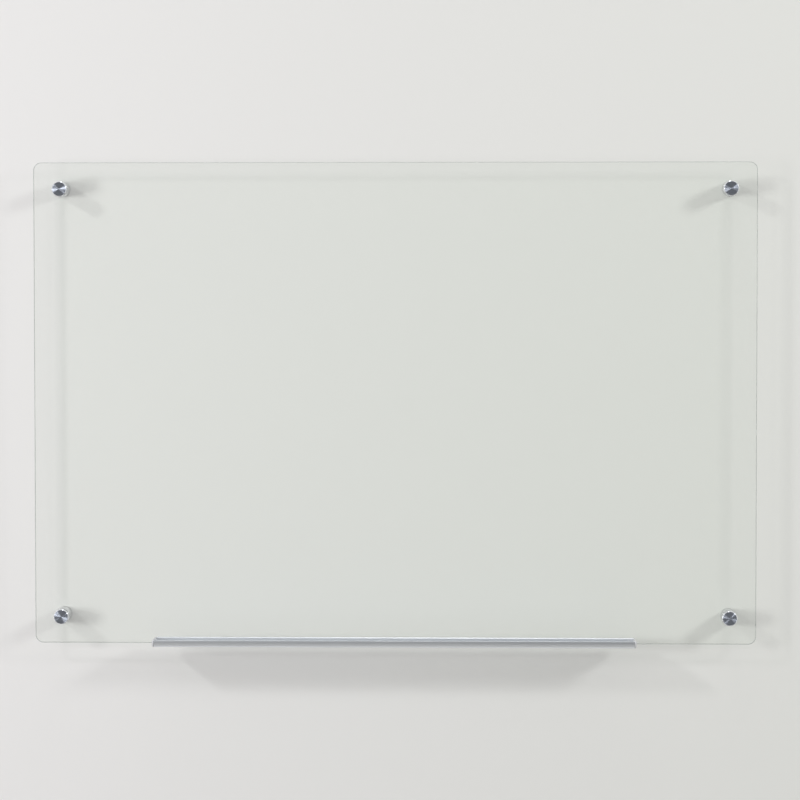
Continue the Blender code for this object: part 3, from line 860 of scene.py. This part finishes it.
class BOARD_OT_wall_screws(Operator):
    """Build the four wall screws, with a pan head, a cross recess and a pointed thread"""

    bl_idname = "board.wall_screws"
    bl_label = "Wall screws"

    def execute(self, context):
        head = radius_of("wall_screw_top_left")
        tip, top = reach("wall_screw_top_left")
        under = BARREL_BASE + SEAT_GAP
        crown = top - under - SCREW_HEAD_FLANK
        quarter = np.linspace(0, TAU / 4, ARC_STEPS * 2 + 1)
        dome = np.stack([head * np.sin(quarter), under + SCREW_HEAD_FLANK + crown * np.cos(quarter)], -1)
        shank = np.linspace(0, tip, round(-tip / SCREW_PITCH * THREAD_ROWS_PER_TURN))
        point = np.clip((shank - tip) / SCREW_POINT, 0, 1)
        profile = np.concatenate([
            dome,
            [(head - SMALL_EDGE, under), (SCREW_CREST_RADIUS, under), (SCREW_CREST_RADIUS, SMALL_EDGE)],
            np.stack([SCREW_CREST_RADIUS * point, shank], -1),
        ])

        def groove(r, out, angle):
            deep = SCREW_CREST_RADIUS - SCREW_CORE_RADIUS
            valley = np.clip(SCREW_VALLEY_SLOPE * helix(out, angle, SCREW_PITCH), 0, 1)
            return (out < 0) * deep * valley * np.clip(r / SCREW_CREST_RADIUS, 0, 1)

        mesh = turned("wall_screw", profile, THREAD_SIDES, closed=False, groove=groove)
        recess = [
            around_y(plus(RECESS_SPAN * share, RECESS_WIDTH * share), top - depth)
            for share, depth in ((1, -RECESS_DEPTH), (1, 0), (RECESS_TAPER_SHARE, RECESS_DEPTH))
        ]
        mesh = combined(mesh, lofted("recess", recess), "DIFFERENCE")
        color = context.scene.board_standoffs.screw_color
        add_at_corners("wall_screw", mesh, plated_steel("zinc_plating", color, SCREW_CAST))
        return {"FINISHED"}


class BOARD_OT_wall_plugs(Operator):
    """Build the four wall plugs, with a collar, barbs and two crossed slits"""

    bl_idname = "board.wall_plugs"
    bl_label = "Wall plugs"

    def execute(self, context):
        collar = radius_of("wall_plug_top_left")
        tip, mouth = reach("wall_plug_top_left")
        bore = SCREW_CORE_RADIUS + SEAT_GAP
        waist = PLUG_BODY_RADIUS - PLUG_BARB_DEPTH
        corners = [
            (bore, mouth, SMALL_EDGE),
            (collar, mouth, WASHER_EDGE),
            (collar, mouth - PLUG_COLLAR, WASHER_EDGE),
            (PLUG_BODY_RADIUS, mouth - PLUG_COLLAR, SMALL_EDGE),
        ]
        for barb in range(PLUG_BARBS):
            shoulder = mouth - PLUG_PLAIN_LENGTH - barb * PLUG_BARB_PITCH
            corners += [
                (PLUG_BODY_RADIUS, shoulder, SMALL_EDGE),
                (waist, shoulder - PLUG_BARB_PITCH, SMALL_EDGE),
            ]
        corners += [(waist, tip, WASHER_EDGE), (bore, tip, SMALL_EDGE)]
        mesh = turned("wall_plug", rounded(corners, PLUG_ARC_STEPS))
        slits = [
            around_y(plus(4 * collar, PLUG_SLIT_WIDTH), out)
            for out in (tip - PLUG_COLLAR, tip + PLUG_SLIT_LENGTH)
        ]
        mesh = combined(mesh, lofted("slits", slits), "DIFFERENCE")
        color = context.scene.board_standoffs.plug_color
        finish = moulded_plastic("grey_nylon", color, grain_scale=3000.0, grain_depth=0.00002, dull=0.5)
        add_at_corners("wall_plug", mesh, finish)
        return {"FINISHED"}


def channel():
    """Places of the tray's channel from the glass's front face: front and rear face, and floor."""
    low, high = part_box("glass_panel")
    front = LINER_WALL + 2 * SEAT_GAP
    return front, -(high.y - low.y) - front, -front


def tray_span():
    """Outer faces of the two end caps along X."""
    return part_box("tray_end_left")[0].x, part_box("tray_end_right")[1].x


class BOARD_OT_pen_tray(Operator):
    """Build the tray's extrusion: channel with a bevelled flange, floor, rounded nose and lip"""

    bl_idname = "board.pen_tray"
    bl_label = "Pen tray"

    def execute(self, context):
        channel_front, channel_rear, channel_floor = channel()
        low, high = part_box("pen_tray")
        depth = -low.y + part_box("glass_panel")[0].y
        flange = channel_front + TRAY_WALL
        heel_back = channel_rear - TRAY_WALL
        heel = channel_floor - TRAY_WALL
        floor = TRAY_WALL - TRAY_UNDERSIDE
        lip_back = depth - TRAY_WALL
        round_top = TRAY_WALL * FULL_ROUND_SHARE
        section = rounded([
            (heel_back, heel, TRAY_HEEL_RADIUS),
            (flange, heel, TRAY_STEP_FILLET),
            (flange, -TRAY_UNDERSIDE, TRAY_STEP_FILLET),
            (depth, -TRAY_UNDERSIDE, TRAY_NOSE_RADIUS),
            (depth, TRAY_LIP_HEIGHT, round_top),
            (lip_back, TRAY_LIP_HEIGHT, round_top),
            (lip_back, floor, TRAY_NOSE_RADIUS - TRAY_WALL),
            (flange, floor, TRAY_FLOOR_FILLET),
            (flange, FRONT_FLANGE_HEIGHT - FLANGE_BEVEL, FLANGE_BEVEL_CORNER),
            (flange - FLANGE_BEVEL, FRONT_FLANGE_HEIGHT, FLANGE_BEVEL_CORNER),
            (channel_front, FRONT_FLANGE_HEIGHT, FLANGE_BEVEL_CORNER),
            (channel_front, channel_floor, CHANNEL_CORNER),
            (channel_rear, channel_floor, CHANNEL_CORNER),
            (channel_rear, REAR_FLANGE_HEIGHT, round_top),
            (heel_back, REAR_FLANGE_HEIGHT, round_top),
        ])
        mesh = lofted("pen_tray", along_x(section, np.linspace(low.x, high.x, TRAY_STATIONS)))
        add_piece("pen_tray", mesh, satin_metal(context.scene.board_tray))
        return {"FINISHED"}


class BOARD_OT_channel_liner(Operator):
    """Build the soft liner that grips the glass in the tray's channel"""

    bl_idname = "board.channel_liner"
    bl_label = "Channel liner"

    def execute(self, context):
        channel_front, channel_rear, _ = channel()
        front, rear = channel_front - SEAT_GAP, channel_rear + SEAT_GAP
        front_top = FRONT_FLANGE_HEIGHT - LINER_STEP_BACK
        rear_top = REAR_FLANGE_HEIGHT - LINER_STEP_BACK
        glass_back = rear + LINER_WALL
        section = rounded([
            (rear, -front, CHANNEL_CORNER),
            (front, -front, CHANNEL_CORNER),
            (front, front_top, LINER_CORNER),
            (SEAT_GAP, front_top, LINER_CORNER),
            (SEAT_GAP, -SEAT_GAP, LINER_CORNER),
            (glass_back, -SEAT_GAP, LINER_CORNER),
            (glass_back, rear_top, LINER_CORNER),
            (rear, rear_top, LINER_CORNER),
        ], SMALL_ARC_STEPS)
        low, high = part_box("channel_liner")
        mesh = lofted("channel_liner", along_x(section, (low.x, high.x)))
        color = context.scene.board_tray.liner_color
        finish = moulded_plastic(
            "soft_grey_vinyl", color, grain_scale=1800.0, grain_depth=0.00001, dull=0.5)
        add_piece("channel_liner", mesh, finish)
        return {"FINISHED"}


class BOARD_OT_end_caps(Operator):
    """Build the tray's moulded end caps: a plate with a rounded rim and a skirt inside the trough"""

    bl_idname = "board.end_caps"
    bl_label = "Tray end caps"

    def execute(self, context):
        channel_front = channel()[0]
        tray_low, tray_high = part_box("pen_tray")
        depth = -tray_low.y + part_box("glass_panel")[0].y
        flange = channel_front + TRAY_WALL
        floor = TRAY_WALL - TRAY_UNDERSIDE + SEAT_GAP
        nose = TRAY_NOSE_RADIUS - TRAY_WALL - SEAT_GAP
        front = depth - TRAY_WALL - SEAT_GAP
        rear = flange + SEAT_GAP
        front_top = TRAY_LIP_HEIGHT - SKIRT_STEP_DOWN
        skirt_section = rounded([
            (rear, floor, TRAY_FLOOR_FILLET - SEAT_GAP),
            (front, floor, nose),
            (front, front_top, SKIRT_TIP),
            (front - SKIRT_WALL, front_top, SKIRT_TIP),
            (front - SKIRT_WALL, floor + SKIRT_WALL, nose - SKIRT_WALL),
            (rear + SKIRT_WALL, floor + SKIRT_WALL, SKIRT_TIP),
            (rear + SKIRT_WALL, SKIRT_REAR_HEIGHT, SKIRT_TIP),
            (rear, SKIRT_REAR_HEIGHT, SKIRT_TIP),
        ])
        radii = [END_PLATE_CORNER, TRAY_NOSE_RADIUS, END_PLATE_CORNER, END_PLATE_CORNER]
        corner_low = (channel_front, -TRAY_UNDERSIDE)
        corner_high = (depth, TRAY_LIP_HEIGHT)
        turn = np.linspace(0, TAU / 4, ARC_STEPS)
        insets = np.concatenate([[END_PLATE_BACK_EDGE, 0], END_PLATE_ROUND * (1 - np.cos(turn))])
        color = context.scene.board_tray.end_color
        finish = moulded_plastic(
            "grey_moulding", color, grain_scale=2600.0, grain_depth=0.00001, dull=0.42)
        left, right = tray_span()
        for side, inner, outer in ((-1, tray_low.x, left), (1, tray_high.x, right)):
            face = inner + side * SEAT_GAP
            rim = outer - side * END_PLATE_ROUND * (1 - np.sin(turn))
            places = np.concatenate([[face, face + side * END_PLATE_BACK_EDGE], rim])
            outlines = [
                along_x(rounded(rectangle(corner_low, corner_high, radii, inset)), [x])[0]
                for inset, x in zip(insets, places)
            ]
            name = "tray_end_left" if side < 0 else "tray_end_right"
            reach_in = (face - side * SKIRT_LENGTH, (face + outer) / 2)
            skirt = lofted("skirt", along_x(skirt_section, reach_in))
            add_piece(name, combined(lofted(name, outlines), skirt, "UNION"), finish)
        return {"FINISHED"}


def flat_stage(name, corners, material):
    mesh = bpy.data.meshes.new(name)
    mesh.from_pydata(corners, [], [(0, 1, 2, 3)])
    mesh.materials.append(material)
    obj = bpy.data.objects.new(name, mesh)
    bpy.context.scene.collection.objects.link(obj)
    return obj


def clear_from_behind(tree, shader):
    """Lets everything through the back of a stage surface, so that it hides nothing from there."""
    back = put(tree, "ShaderNodeNewGeometry").outputs["Backfacing"]
    show_mix(tree, back, shader, put(tree, "ShaderNodeBsdfTransparent"))


def wall_paint_and_shade(settings):
    """Matt wall colour, with painted shade that darkens it a little to the right."""
    material, tree, shader = new_finish("wall_paint_and_shade", Roughness=0.9)
    shader.inputs["Specular IOR Level"].default_value = 0.2
    place = put(tree, "ShaderNodeTexCoord").outputs["Object"]
    across = put(tree, "ShaderNodeSeparateXYZ", {"Vector": place}).outputs["X"]
    # Painted shade: the colour runs from the left of the wall to a darker right
    share = remap(tree, across, -WALL_SHADED_TO, WALL_SHADED_TO, 0.0, 1.0)
    paint_and_shade = mix_color(tree, share, rgba(settings.wall_left), rgba(settings.wall_right))
    feed(tree, shader, Base_Color=paint_and_shade)
    clear_from_behind(tree, shader)
    return material


def floor_paint(settings):
    """Matt floor, paler where the camera sees it than it lights the room."""
    material, tree, shader = new_finish("floor_paint", Roughness=0.8)
    cloud = noise(tree, place_of(tree), scale=3.0)
    path = put(tree, "ShaderNodeLightPath")
    seen = calc(tree, "MAXIMUM", path.outputs["Is Camera Ray"], path.outputs["Is Transmission Ray"])
    color = mix_color(tree, seen, rgba(settings.floor_color), rgba(settings.floor_seen))
    color = mix_color(tree, spread(tree, cloud, 0.0, FLOOR_CLOUD), color, (0, 0, 0, 1))
    feed(tree, shader, Base_Color=color)
    clear_from_behind(tree, shader)
    return material


def light_world(settings):
    """Pale to the camera and through glass. Shiny surfaces see it dim on the room's side."""
    world = bpy.data.worlds.new("studio")
    world.use_nodes = True
    bpy.context.scene.world = world
    tree = world.node_tree
    direction = put(tree, "ShaderNodeTexCoord").outputs["Generated"]
    towards_wall = put(tree, "ShaderNodeSeparateXYZ", {"Vector": direction}).outputs["Y"]
    background = rgba(settings.background)
    grey = rgba([settings.room] * 3)
    dim = rgba([settings.room_reflected] * 3)
    lit = mix_color(tree, remap(tree, towards_wall, *LIGHT_FADE, 0.0, 1.0), grey, background)
    shine = mix_color(tree, remap(tree, towards_wall, *SHINE_FADE, 0.0, 1.0), dim, background)
    path = put(tree, "ShaderNodeLightPath")
    seen = calc(tree, "MAXIMUM", path.outputs["Is Camera Ray"], path.outputs["Is Transmission Ray"])
    color = mix_color(tree, path.outputs["Is Glossy Ray"], lit, shine)
    color = mix_color(tree, seen, color, background)
    tree.links.new(color, tree.nodes["Background"].inputs["Color"])


def not_lit():
    """Collection of the pieces that the lamps leave out."""
    return bpy.data.collections.get(NOT_LIT) or bpy.data.collections.new(NOT_LIT)


def add_lamp(name, turn, rise, distance, size, share):
    """Square lamp that gives the wall's middle a share of full light: power = share pi^2 d^2 / cos."""
    towards = np.array([np.tan(np.radians(turn)), -1, np.tan(np.radians(rise))])
    towards /= np.linalg.norm(towards)
    data = bpy.data.lights.new(name, "AREA")
    data.shape = "SQUARE"
    data.size = size
    data.energy = float(share * np.pi ** 2 * distance ** 2 / -towards[1])
    lamp = bpy.data.objects.new(name, data)
    lamp.location = towards * distance
    lamp.rotation_euler = lamp.location.to_track_quat("Z", "Y").to_euler()
    lamp.light_linking.receiver_collection = not_lit()
    bpy.context.scene.collection.objects.link(lamp)


class BOARD_OT_studio(Operator):
    """Set up the wall, the floor, the lamps, the world and the camera"""

    bl_idname = "board.studio"
    bl_label = "Studio"

    def execute(self, context):
        settings = context.scene.board_studio
        half_width, top = WALL_SIZE[0] / 2, FLOOR_HEIGHT + WALL_SIZE[1]
        flat_stage("wall", [
            (-half_width, WALL_STAND_OFF, FLOOR_HEIGHT),
            (half_width, WALL_STAND_OFF, FLOOR_HEIGHT),
            (half_width, WALL_STAND_OFF, top),
            (-half_width, WALL_STAND_OFF, top),
        ], wall_paint_and_shade(settings))
        reach_out = FLOOR_SIZE / 2
        flat_stage("floor", [
            (-reach_out, -reach_out, FLOOR_HEIGHT),
            (reach_out, -reach_out, FLOOR_HEIGHT),
            (reach_out, reach_out, FLOOR_HEIGHT),
            (-reach_out, reach_out, FLOOR_HEIGHT),
        ], floor_paint(settings))
        light_world(settings)
        for lamp in LAMPS:
            add_lamp(*lamp)
        data = bpy.data.cameras.new("camera")
        data.sensor_width = SENSOR_WIDTH
        data.lens = settings.lens
        camera = bpy.data.objects.new("camera", data)
        camera.location = settings.camera_place
        camera.rotation_euler = settings.camera_turn
        context.scene.collection.objects.link(camera)
        context.scene.camera = camera
        context.scene.view_settings.view_transform = "Standard"
        return {"FINISHED"}


class BOARD_PT_build(Panel):
    """Lists the pieces of the board and their colours"""

    bl_idname = "BOARD_PT_build"
    bl_label = "Glass writing board"
    bl_space_type = "VIEW_3D"
    bl_region_type = "UI"
    bl_category = "Board"

    def draw(self, context):
        for operator in OPERATORS:
            self.layout.operator(operator.bl_idname)
        for title, attribute in SETTINGS:
            box = self.layout.box()
            box.label(text=title)
            group = getattr(context.scene, attribute)
            for name in group.__annotations__:
                box.prop(group, name)


OPERATORS = (
    BOARD_OT_studio,
    BOARD_OT_glass_panel,
    BOARD_OT_barrels,
    BOARD_OT_caps,
    BOARD_OT_studs,
    BOARD_OT_washers,
    BOARD_OT_bushes,
    BOARD_OT_wall_screws,
    BOARD_OT_wall_plugs,
    BOARD_OT_pen_tray,
    BOARD_OT_channel_liner,
    BOARD_OT_end_caps,
)
SETTINGS = (
    ("Glass", "board_glass"),
    ("Standoffs", "board_standoffs"),
    ("Pen tray", "board_tray"),
    ("Studio", "board_studio"),
)
GROUPS = (GlassSettings, StandoffSettings, TraySettings, StudioSettings)
CLASSES = GROUPS + OPERATORS + (BOARD_PT_build,)


def register():
    for cls in CLASSES:
        bpy.utils.register_class(cls)
    for (_, attribute), group in zip(SETTINGS, GROUPS):
        setattr(bpy.types.Scene, attribute, PointerProperty(type=group))


def unregister():
    for _, attribute in SETTINGS:
        delattr(bpy.types.Scene, attribute)
    for cls in reversed(CLASSES):
        bpy.utils.unregister_class(cls)


def main():
    register()
    for operator in OPERATORS:
        group, name = operator.bl_idname.split(".")
        getattr(getattr(bpy.ops, group), name)()


if __name__ == "__main__":
    main()
